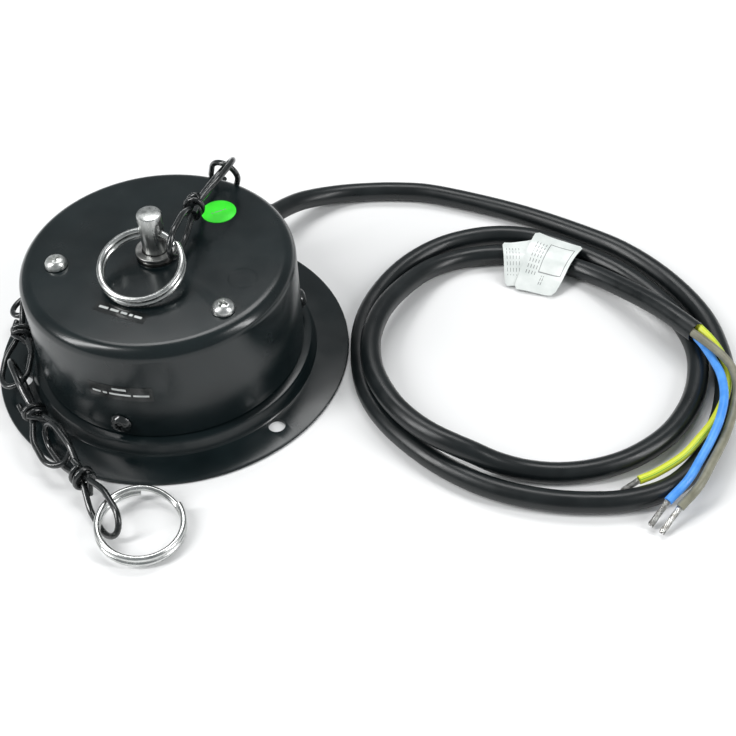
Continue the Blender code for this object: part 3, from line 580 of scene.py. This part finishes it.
def make_tag():
    """Thin white film folded over two turns of the lead: a front flap, and a shorter one behind it."""
    near, far = ((119.4, 21.4), (133.2, 16.2)), ((130.0, 43.0), (145.6, 32.0))
    rise = [(0.0, 0.9), (5.8, 3.6), (10.0, 7.2), (14.0, 8.5), (18.6, 8.9), (23.3, 8.6)]
    front = film_sheet("tag_flap", near, far, rise, front_print)
    near, far = ((116.6, 23.2), (127.0, 22.0)), ((117.0, 38.6), (128.5, 38.6))
    rise = [(0.0, 0.7), (3.0, 3.0), (6.8, 7.0), (10.5, 7.8), (15.0, 7.9)]
    behind = film_sheet("tag_back_flap", near, far, rise, back_print)
    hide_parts("cable_tag")
    return [front, behind]


def film_sheet(name, near, far, rise, is_printed):
    """Film between a near and a far edge, each from left to right, with printed cells.

    Its height follows `rise` from near to far.
    """
    across, thick, corner = 60, 0.16, 0.07
    near, far = [Vector(p) for p in near], [Vector(p) for p in far]
    run = smooth([(0.0, y, z) for y, z in rise], 0.4)
    count = len(run)
    shape = bmesh.new()
    layers = []
    for layer in (0, 1):
        grid = []
        for k, point in enumerate(run):
            along = k / (count - 1)
            clip = corner * max(0.0, 1.0 - min(k, count - 1 - k) / 4.0)
            left, right = near[0].lerp(far[0], along), near[1].lerp(far[1], along)
            row = []
            for n in range(across + 1):
                share = clip + (1 - 2 * clip) * n / across
                ripple = 0.16 * math.sin(share * 5.0 + along * 3.0)
                ripple += 0.1 * math.sin(along * 9.0 + share * 7.0)
                curl = 0.7 * max(0.0, (share - 0.7) / 0.3) ** 2
                place = left.lerp(right, share)
                height = point.z + ripple + curl + layer * thick
                row.append(shape.verts.new(Vector((place.x, place.y, height)) * MM))
            grid.append(row)
        layers.append(grid)
    low, high = layers
    for k in range(count - 1):
        for n in range(across):
            top = shape.faces.new((high[k][n], high[k][n + 1], high[k + 1][n + 1], high[k + 1][n]))
            shape.faces.new((low[k][n], low[k + 1][n], low[k + 1][n + 1], low[k][n + 1]))
            top.material_index = int(is_printed(n, k))
        shape.faces.new((low[k][0], high[k][0], high[k + 1][0], low[k + 1][0]))
        shape.faces.new((low[k][-1], low[k + 1][-1], high[k + 1][-1], high[k][-1]))
    for n in range(across):
        shape.faces.new((low[0][n], low[0][n + 1], high[0][n + 1], high[0][n]))
        shape.faces.new((low[-1][n], high[-1][n], high[-1][n + 1], low[-1][n + 1]))
    made = to_object(name, shape, TAG_FILM, "root", angle=60)
    made.data.materials.append(TAG_PRINT)
    return made


def front_print(column, row):
    """Plain ruled frame on the far half, and short dashes in rows down the left and before the frame."""
    in_frame = 24 <= column <= 54 and 20 <= row <= 52
    on_frame = column in (24, 54) or row in (20, 52)
    dashes = column in (8, 12, 16, 20) and row % 5 > 1 and 14 < row < 50
    short_rows = column in (30, 33) and 8 < row < 18 and row % 4 > 0
    return (in_frame and on_frame) or dashes or short_rows


def back_print(column, row):
    """Short dashes in rows."""
    return column in (6, 12, 18, 24, 30) and row % 5 > 1 and 8 < row < 36


def make_lead():
    sheath, path = make_sheath()
    carried = make_core("lead_core_blue", BLUE_ROUTE_M, BLUE_TIP, BLUE, "blue")
    carried += make_core("lead_core_brown", BROWN_ROUTE_M, BROWN_TIP, BROWN, "brown")
    carried += make_core("lead_core_yellow", YELLOW_ROUTE_M, YELLOW_TIP, YELLOW, "yellow")
    carried += make_tag()
    round(length_of(path) * MM, 3)


make_lead()


# ---------------------------------------------------------------- housing
FLANGE_RADIUS = 60.0
SHEET = 1.2
BEAD_TOP = 6.0
CUP_RADIUS = 44.8
CUP_TOP = 44.0
CUP_LOW = 6.3
WALL_HOLE_ANGLES = (-47.0, 73.0, 193.0)
WALL_HOLE_CIRCLE = 52.0
SIDE_SCREW_ANGLES = (13.3, 133.3, 253.3)
SIDE_SCREW_HEIGHT = 12.0
LEAD_ANGLE = 60.0
LEAD_HEIGHT = 14.0
MOTOR_SCREWS = ((-32.02, -2.61), (22.62, -27.39))
SHAFT_TOP = 61.3
CROSS_HOLE_HEIGHT = 53.4
UPPER_RING_SIDE = -103.5


def make_base():
    """Pressed flange with its raised bead, rolled edge and countersunk wall holes."""
    outline = [(0.0, SHEET), (38.2, SHEET), (38.9, 1.6), (39.9, 4.9), (40.3, 5.7), (41.0, BEAD_TOP),
               (46.6, BEAD_TOP), (47.3, 5.75), (47.7, 5.0), (48.5, 2.0), (48.75, 1.45), (49.0, SHEET),
               (49.2, SHEET), (59.2, SHEET), (59.8, 1.0), (FLANGE_RADIUS, 0.6), (59.8, 0.15), (59.4, 0.0),
               (48.2, 0.0), (46.8, 3.2), (46.0, BEAD_TOP - SHEET), (41.7, BEAD_TOP - SHEET), (39.7, 0.0),
               (0.0, 0.0)]
    base = lathe("base_flange", outline, ENAMEL, "root", ["base_plate"], steps=160, angle=50)
    hole = [(0.0, 3.0), (3.6, 3.0), (2.75, 0.9), (2.75, -2.0), (0.0, -2.0)]
    for n, angle in enumerate(WALL_HOLE_ANGLES, 1):
        cut(base, f"flange_hole_{n}", hole, Matrix.Translation(polar(WALL_HOLE_CIRCLE, angle) * MM))


def plain_hole(radius, depth):
    """Outline of a straight round cutter."""
    return [(0.0, depth), (radius, depth), (radius, 0.0), (0.0, 0.0)]


def make_cup():
    """Drawn cup with a rounded rim, open where the bush, the screws and the lead pass through it."""
    rim, parts = 4.5, 10
    turns = [math.pi / 2 * k / parts for k in range(parts + 1)]
    corner = [(CUP_RADIUS - rim * (1 - math.sin(a)), CUP_TOP - rim * (1 - math.cos(a))) for a in turns]
    inner = CUP_RADIUS - SHEET
    outline = [(0.0, CUP_TOP), *corner, (CUP_RADIUS, 20.0), (CUP_RADIUS, CUP_LOW + 0.3),
               (CUP_RADIUS - 0.3, CUP_LOW), (inner, CUP_LOW), (inner, 39.5), (inner - 1.0, 41.8),
               (inner - 3.3, CUP_TOP - SHEET), (0.0, CUP_TOP - SHEET)]
    cup = lathe("housing_shell", outline, ENAMEL, "root", ["housing_cup"], steps=160, angle=50)
    below_top = CUP_TOP - 4
    cut(cup, "bush_opening", plain_hole(6.3, 8.0), Matrix.Translation((0.0, 0.0, below_top * MM)))
    for n, (x, y) in enumerate(MOTOR_SCREWS, 1):
        place = Matrix.Translation((x * MM, y * MM, below_top * MM))
        cut(cup, f"screw_opening_{n}", plain_hole(2.2, 8.0), place, 24)
    inside_wall = CUP_RADIUS - 5
    for n, angle in enumerate(SIDE_SCREW_ANGLES, 1):
        place = aimed(polar(inside_wall, angle, SIDE_SCREW_HEIGHT), polar(1, angle))
        cut(cup, f"side_opening_{n}", plain_hole(1.7, 10.0), place, 24)
    place = aimed(polar(inside_wall, LEAD_ANGLE, LEAD_HEIGHT), polar(1, LEAD_ANGLE))
    cut(cup, "lead_opening", plain_hole(6.0, 10.0), place)


def cross_recess(target, place, size, depth):
    """Cuts a cross recess, narrowing downwards, into a screw head."""
    slot_width = 0.13
    for turn in (0, 90):
        shape = bmesh.new()
        local = place @ Matrix.Rotation(math.radians(turn), 4, "Z")
        corners = []
        for height, grow in ((0.6, 1.25), (-depth, 0.55)):
            for x, y in ((-1, -1), (1, -1), (1, 1), (-1, 1)):
                point = Vector((x * size * grow / 2, y * size * slot_width * grow, height)) * MM
                corners.append(shape.verts.new(local @ point))
        top, bottom = corners[:4], corners[4:]
        shape.faces.new(top)
        shape.faces.new(list(reversed(bottom)))
        for n in range(4):
            m = (n + 1) % 4
            shape.faces.new((top[m], top[n], bottom[n], bottom[m]))
        cut_with(target, to_object(f"recess_{turn}", shape, target.data.materials[0], None))


def make_screws():
    """Two bright pan heads on the top and three black ones round the wall."""
    clear = 0.3
    high = 2.7
    head = [(0.0, high), (1.2, 2.62), (2.3, 2.35), (3.15, 1.7), (3.6, 0.8), (3.7, 0.0), (1.9, 0.0),
            (1.9, -7.5), (0.0, -7.5)]
    for n, ((x, y), angle) in enumerate(zip(MOTOR_SCREWS, (20, 62)), 1):
        turn = Matrix.Rotation(math.radians(angle), 4, "Z")
        place = Matrix.Translation((x * MM, y * MM, (CUP_TOP + clear) * MM)) @ turn
        screw = lathe(f"pan_head_{n}", head, ZINC, "root", [f"motor_screw_{n}"],
                      steps=48, place=place)
        cross_recess(screw, place @ Matrix.Translation((0.0, 0.0, high * MM)), 3.6, 1.7)
    high = 2.0
    head = [(0.0, high), (1.2, 1.94), (2.2, 1.75), (3.1, 1.1), (3.5, 0.0), (1.4, 0.0), (1.4, -3.4),
            (0.0, -3.4)]
    turn = Matrix.Rotation(math.radians(30), 4, "Z")
    for n, angle in enumerate(SIDE_SCREW_ANGLES, 1):
        place = aimed(polar(CUP_RADIUS + clear, angle, SIDE_SCREW_HEIGHT), polar(1, angle)) @ turn
        screw = lathe(f"side_head_{n}", head, BLACK_WIRE, "root", [f"side_screw_{n}"],
                      steps=40, place=place)
        cross_recess(screw, place @ Matrix.Translation((0.0, 0.0, high * MM)), 3.4, 1.3)


def make_shaft():
    """Output shaft with its clip groove and cross hole, its washer, and the bush it runs in."""
    outline = [(0.0, SHAFT_TOP), (3.1, SHAFT_TOP), (3.75, SHAFT_TOP - 0.25), (4.0, SHAFT_TOP - 0.8),
               (4.0, 50.0), (4.0, 38.0), (3.3, 37.8), (3.3, 36.6), (4.0, 36.4), (4.0, 33.0), (0.0, 33.0)]
    shaft = lathe("shaft_bar", outline, STEEL, "shaft", ["output_shaft"], steps=80)
    along = polar(1, UPPER_RING_SIDE + 90)
    start = along * -8 + Vector((0, 0, CROSS_HOLE_HEIGHT))
    cut(shaft, "cross_bore", plain_hole(2.8, 16.0), aimed(start, along))
    washer = rounded([(4.35, 46.8), (6.5, 46.8), (6.5, 45.5), (4.35, 45.5)], 0.3)
    lathe("thrust_washer", washer, WASHER_STEEL, "shaft", ["shaft_washer"])
    bush = [(4.35, 45.2), (5.7, 45.2), (6.0, 44.9), (6.0, 38.1), (4.35, 38.1)]
    lathe("bush_sleeve", bush, DARK_STEEL, "root", ["bearing_bush"])


def make_relief():
    """Grommet in the wall and its tapered, ribbed sleeve, which follows the lead.

    The outline's points are (radius, run along the lead).
    """
    step = 0.5
    path = smooth(in_mm(CORD_ROUTE_M), step)
    outline = [(3.75, 34.0), (4.6, 34.0), (4.75, 33.6)]
    for k in range(5):
        run, radius = 31.6 - 3.2 * k, 4.95 + 0.27 * k
        groove = radius - 0.4
        outline += [(radius, run + 0.9), (radius, run - 0.6), (groove, run - 0.9), (groove, run - 2.0)]
    outline += [(6.3, 15.8), (7.0, 15.6), (7.35, 15.0), (7.4, 14.2), (7.25, 13.2), (5.7, 13.2), (5.7, 10.6),
                (6.9, 10.6), (6.9, 8.8), (3.75, 8.8), (3.75, 17.0), (3.75, 25.0)]
    steps = 48
    shape = bmesh.new()
    rings = []
    for radius, run in outline:
        k = round(run / step)
        way = (path[k + 1] - path[k - 1]).normalized()
        side = way.cross(Vector((0.0, 0.0, 1.0))).normalized()
        upward = side.cross(way)
        centre = path[k] + way * (run - k * step)
        turns = [2 * math.pi * n / steps for n in range(steps)]
        ring = [centre + radius * (math.cos(turn) * side + math.sin(turn) * upward) for turn in turns]
        rings.append([shape.verts.new(point * MM) for point in ring])
    for ring, following in zip(rings, rings[1:] + rings[:1]):
        for n in range(steps):
            m = (n + 1) % steps
            shape.faces.new((ring[n], ring[m], following[m], following[n]))
    to_object("lead_relief", shape, RUBBER, "root", ["cable_grommet"])


# ---------------------------------------------------------------- rings and chain
RING_RADIUS = 13.0
RING_WIRE_RADIUS = 1.0
COIL_STEP = 2.3


def split_ring(name, start, single, place, body, node):
    """Wire coiled nearly twice round: over `single` degrees there is one wire, which changes layer there."""
    sweep = 720.0 - single
    count = 260
    path = []
    for k in range(count + 1):
        turned_by = sweep * k / count
        share = min(max((turned_by - (360.0 - single)) / single, 0.0), 1.0)
        step = COIL_STEP * (0.5 - share * share * (3 - 2 * share))
        path.append(place @ polar(RING_RADIUS, start - turned_by, step))
    tube(name, path, RING_WIRE_RADIUS, NICKEL, body, [node], sides=20)


def make_rings():
    turn = Matrix.Rotation(math.radians(UPPER_RING_SIDE), 4, "Z")
    lean = Matrix.Rotation(math.radians(15.6), 4, "Y")
    hole = Matrix.Translation((0.0, 0.0, CROSS_HOLE_HEIGHT))
    upper = hole @ turn @ lean @ Matrix.Translation((RING_RADIUS, 0, 0))
    split_ring("ring_on_shaft", 134.0, 52.0, upper, "upper_ring", "upper_split_ring")
    lift = Matrix.Rotation(math.radians(6.0), 4, polar(1, 62.0))
    lower = Matrix.Translation((-5.2, -77.7, 3.9)) @ lift
    split_ring("ring_for_ball", 32.0, 62.0, lower, "lower_ring", "lower_split_ring")


# start, waist and end of each link, then the way its first and its second loop are wide
CHAIN = [
    ((6.1, -9.0, 52.3), (12.4, 12.8, 52.3), (23.0, 38.6, 50.4), (-0.06, -0.26, 0.96), (0.7, 0.0, 0.72)),
    ((21.9, 36.2, 51.0), (17.3, 47.6, 30.0), (11.0, 57.2, 7.9), (-0.87, 0.5, 0.0), (0.3, 0.95, 0.0)),
    ((14.7, 56.8, 7.9), (-9.8, 53.6, 7.6), (-33.8, 46.4, 6.9), (0.0, -0.1, 1.0), (0.0, 1.0, -0.3)),
    ((-25.4, 49.9, 8.6), (-40.8, 32.2, 8.6), (-55.9, 13.4, 8.2), (0.0, 0.1, 1.0), (-0.8, 0.6, -0.2)),
    ((-48.5, 25.4, 11.0), (-51.6, 3.6, 9.0), (-51.8, -20.4, 7.6), (-0.3, 0.0, 0.95), (-1.0, 0.0, -0.25)),
    ((-52.6, -11.5, 9.2), (-42.6, -33.4, 8.4), (-31.0, -54.5, 7.2), (-0.2, -0.1, 0.97), (-0.88, -0.4, -0.25)),
    ((-38.0, -40.5, 8.6), (-24.2, -60.5, 7.1), (-12.0, -80.9, 4.7), (0.3, 0.2, 0.93), (0.48, 0.27, 0.83)),
]
LINK_WIRE_RADIUS = 1.0
KNOT_WIRE_RADIUS = 0.9
LINK_HALF_WIDTH = 4.9
LINK_WAIST = 1.35
NOSE_START = 0.72


def half_width(share):
    """Half width of a loop at a share of the way from the waist to the tip."""
    neck = min(share / 0.5, 1.0)
    body = LINK_WAIST + (LINK_HALF_WIDTH - LINK_WAIST) * neck * neck * (3 - 2 * neck)
    nose = max(0.0, (share - NOSE_START) / (1 - NOSE_START))
    return body * math.sqrt(max(0.0, 1.0 - nose * nose))


def loop_shares():
    """Stations from the waist to the tip, closer together round the nose."""
    first = 0.08
    straight = [first + (NOSE_START - first) * k / 10 for k in range(11)]
    nose = [NOSE_START + (1 - NOSE_START) * math.sin(math.pi / 2 * k / 9) for k in range(1, 9)]
    return straight + nose


def loop_side(waist, tip, wide, sign):
    """Points of one side of a loop from the waist to near the tip, and the way that side lies."""
    waist, tip, wide = Vector(waist), Vector(tip), Vector(wide)
    ahead = tip - waist
    across = wide - ahead * (wide.dot(ahead) / ahead.length_squared)
    across = across.normalized() * sign
    return [waist + ahead * s + across * half_width(s) for s in loop_shares()], across


def add_knot(shape, waist, ahead, across):
    """Two turns of wire wound round the waist, with short tails tucked along the loops."""
    waist, ahead = Vector(waist), ahead.normalized()
    across = (across - ahead * across.dot(ahead)).normalized()
    other = ahead.cross(across)
    path = [waist + ahead * -5.2 + across * 2.9 + other * 1.6]
    turns, count, length = 1.9, 54, 4.6
    wide, narrow = 3.45, 2.75
    for k in range(count + 1):
        share = k / count
        turn = 2 * math.pi * turns * share + 0.5
        offset = wide * math.cos(turn) * across + narrow * math.sin(turn) * other
        path.append(waist + ahead * (share - 0.5) * length + offset)
    path.append(waist + ahead * 5.0 - across * 3.1 - other * 1.2)
    add_tube(shape, path, KNOT_WIRE_RADIUS, 12)


def make_chain():
    """Seven links, each one closed wire with a loop at both ends and a knot at its waist.

    Link 1 runs from the shaft to the housing; it rides on no body, and its place is baked into its mesh.
    """
    for n, (start, waist, end, wide_first, wide_second) in enumerate(CHAIN, 1):
        first, way_first = loop_side(waist, start, wide_first, 1)
        first_back, _ = loop_side(waist, start, wide_first, -1)
        second, way_second = loop_side(waist, end, wide_second, 1)
        second_back, _ = loop_side(waist, end, wide_second, -1)
        middle = (way_first + way_second).normalized() * LINK_WAIST
        path = [*reversed(first), Vector(waist) + middle, *second, Vector(end)]
        path += [*reversed(second_back), Vector(waist) - middle, *first_back, Vector(start)]
        shape = bmesh.new()
        add_tube(shape, path, LINK_WIRE_RADIUS, 14, closed=True)
        add_knot(shape, waist, Vector(end) - Vector(start), middle)
        body = None if n == 1 else "root"
        link = to_object(f"knotted_link_{n}", shape, BLACK_WIRE, body, [f"chain_link_{n}"],
                         angle=60)
        if n == 1:
            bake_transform(link)


# ---------------------------------------------------------------- labels
STICKER_PLACE = (19.2, 20.1)
EMBLEM_PLACE = Vector((28.2, -13.4, CUP_TOP - 0.06))
EMBLEM_RADIUS = 4.6


def add_box(shape, low, high, place):
    """Adds a box between two local corners, each vertex then put where `place` says."""
    low, high = Vector(low), Vector(high)
    for vert in bmesh.ops.create_cube(shape, size=1.0)["verts"]:
        local = Vector(tuple(l + (h - l) * (c + 0.5) for l, h, c in zip(low, high, vert.co)))
        vert.co = place(local)


def flat_place(x, y, z, angle):
    """Puts local points on a level face, turned by the angle."""
    matrix = Matrix.Translation((x, y, z)) @ Matrix.Rotation(math.radians(angle), 4, "Z")
    return lambda local: (matrix @ local) * MM


def wall_place(angle, z):
    """Bends local x round the wall, local y up it and local z out of it."""
    def place(local):
        turn = math.radians(angle) + local.x / CUP_RADIUS
        radius = CUP_RADIUS + local.z
        return Vector((radius * math.cos(turn), radius * math.sin(turn), z + local.y)) * MM
    return place


def add_bar(shape, low, high, pieces, place):
    """Adds a bar as boxes side by side along local x, so that it can follow a curved wall."""
    width = (high[0] - low[0]) / pieces
    for k in range(pieces):
        x = low[0] + (high[0] - low[0]) * k / pieces
        add_box(shape, (x, low[1], low[2]), (x + width, high[1], high[2]), place)


def label(name, width, height, rows, place):
    """Thin black patch with plain pale bars. A row is its height, how tall its bars are, and their ends."""
    top, print_top = 0.1, 0.15
    shape = bmesh.new()
    add_bar(shape, (-width / 2, -height / 2, 0.02), (width / 2, height / 2, top), 24, place)
    bmesh.ops.remove_doubles(shape, verts=shape.verts, dist=0.000001)
    to_object(name, shape, PATCH, "root")
    shape = bmesh.new()
    for y, tall, bars in rows:
        for low, high in bars:
            corners = (low, y - tall / 2, top), (high, y + tall / 2, print_top)
            add_bar(shape, *corners, math.ceil(high - low), place)
    bmesh.ops.remove_doubles(shape, verts=shape.verts, dist=0.000001)
    to_object(name + "_bars", shape, PATCH_PRINT, "root")


def make_labels():
    """Two plain patches, the round sticker with three dashes, and a plain raised circle."""
    rows = [(0.0, 0.9, [(-7.6, -4.4), (-3.6, -0.6), (0.2, 2.4), (3.2, 4.4), (5.0, 7.6)])]
    label("load_label", 18.0, 4.4, rows, flat_place(-9.2, -26.2, CUP_TOP, -26.0))
    rows = [(1.6, 0.8, [(-2.4, 2.2)]), (-0.6, 0.7, [(-9.4, -6.6), (-5.8, -4.4), (-3.6, 3.4), (4.2, 9.2)])]
    label("wall_label", 21.0, 6.0, rows, wall_place(-104.0, 26.0))
    x, y = STICKER_PLACE
    disc = [(5.8, 0.0), (5.8, 0.14), (5.7, 0.2), (0.0, 0.2), (0.0, 0.0)]
    shape = bmesh.new()
    add_lathe(shape, disc, 72, Matrix.Translation((x * MM, y * MM, (CUP_TOP + 0.02) * MM)))
    to_object("round_sticker", shape, GREEN, "root", ["green_sticker"])
    shape = bmesh.new()
    marks = flat_place(x, y, CUP_TOP + 0.2, 24.0)
    for low, high in ((-2.6, -1.9), (-1.4, 1.2), (1.7, 2.6)):
        add_box(shape, (low, -0.18, 0.02), (high, 0.18, 0.05), marks)
    to_object("sticker_marks", shape, TAG_PRINT, "root")
    points = 64
    ring = [EMBLEM_PLACE + polar(EMBLEM_RADIUS, 360 * k / points) for k in range(points)]
    tube("pressed_ring", ring, 0.16, ENAMEL, "root", sides=8, closed=True)


# ---------------------------------------------------------------- parts that keep their shape
def finish_inner_parts():
    """Gives each CAD node the procedural material of its slot."""
    finishes = {"steel": ZINC, "brass": BRASS, "nylon": NYLON, "copper": COPPER, "ferrite": FERRITE,
                "rubber": RUBBER, "core_brown": BROWN, "core_blue": BLUE, "core_yellow": YELLOW,
                "enamel": ENAMEL, "nickel": NICKEL, "black_wire": BLACK_WIRE, "cord": SHEATH,
                "tinned": STRAND, "tag": TAG_FILM, "sticker": GREEN}
    slots = {part["node"]: part["material_slot"] for part in frame["record"]["subparts"]}
    for node, piece in frame["nodes"].items():
        piece.data.materials.clear()
        piece.data.materials.append(finishes[slots[node]])


finish_inner_parts()
make_base()
make_cup()
make_screws()
make_shaft()
make_relief()
make_rings()
make_chain()
make_labels()


# ---------------------------------------------------------------- stage and light
def make_stage():
    bpy.ops.mesh.primitive_plane_add(size=8.0, location=(0.1, 0.0, 0.0))
    floor = bpy.context.object
    floor.name = "floor"
    made = Shader("floor_white", 0.9)
    made.colour(3.0, (0.88, 0.88, 0.88), (0.9, 0.9, 0.9))
    made.body.inputs["Specular IOR Level"].default_value = 0.0
    floor.data.materials.append(made.material)


def area_light(name, place, target, size, size_y, power):
    """Rectangular light at a place, turned to its target, both in metres."""
    data = bpy.data.lights.new(name, "AREA")
    data.shape = "RECTANGLE"
    data.size = size
    data.size_y = size_y
    data.energy = power
    light = bpy.data.objects.new(name, data)
    light.location = place
    way = Vector(target) - Vector(place)
    light.rotation_euler = way.to_track_quat("-Z", "Y").to_euler()
    bpy.context.scene.collection.objects.link(light)


def make_light():
    world = bpy.data.worlds.new("studio")
    world.use_nodes = True
    background = world.node_tree.nodes["Background"]
    background.inputs["Color"].default_value = (0.93, 0.98, 1.0, 1.0)
    background.inputs["Strength"].default_value = 0.3
    bpy.context.scene.world = world
    bpy.context.scene.view_settings.view_transform = "Standard"
    area_light("key", (-0.75, -0.25, 0.75), (0.02, 0.0, 0.03), 0.2, 0.9, 9.0)
    area_light("fill", (0.95, -0.35, 0.6), (0.05, 0.0, 0.02), 0.15, 0.8, 6.0)
    area_light("top", (0.1, 0.55, 1.1), (0.05, 0.0, 0.0), 0.9, 0.4, 6.0)


make_stage()
make_light()
